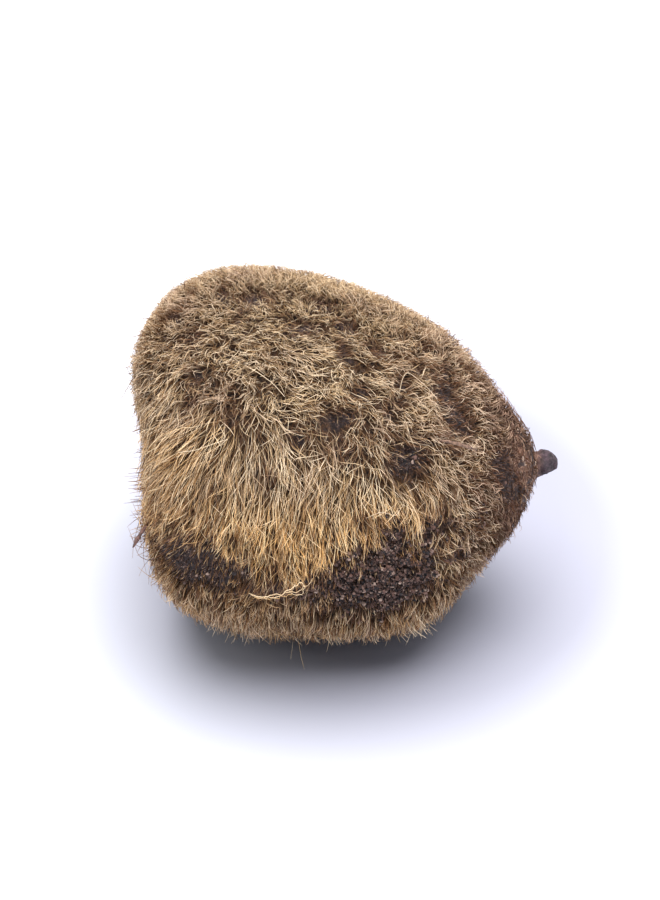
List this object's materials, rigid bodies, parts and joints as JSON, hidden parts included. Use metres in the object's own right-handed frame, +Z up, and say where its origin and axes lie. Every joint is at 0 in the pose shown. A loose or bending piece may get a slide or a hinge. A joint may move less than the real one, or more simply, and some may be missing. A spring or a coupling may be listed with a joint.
{
  "type": "coconut",
  "caption": "Whole coconut with a shaggy coat of brown fibre, a blunt dished base and a tapered end with a small woody knob, resting on its side.",
  "frame": {"origin": "on the surface it rests on, under the middle of its length and width", "axes": "+X from the blunt base to the knob at the tip, +Z up, -Y the front with the longest fibres"},
  "size_m": [0.1006, 0.089, 0.0906],
  "materials": {
    "fibre_coat": "matte",
    "felted_bed": "matte",
    "woody_tip": "matte"
  },
  "bodies": {
    "root": {"coconut": "fibre_coat"}
  },
  "joints": []
}
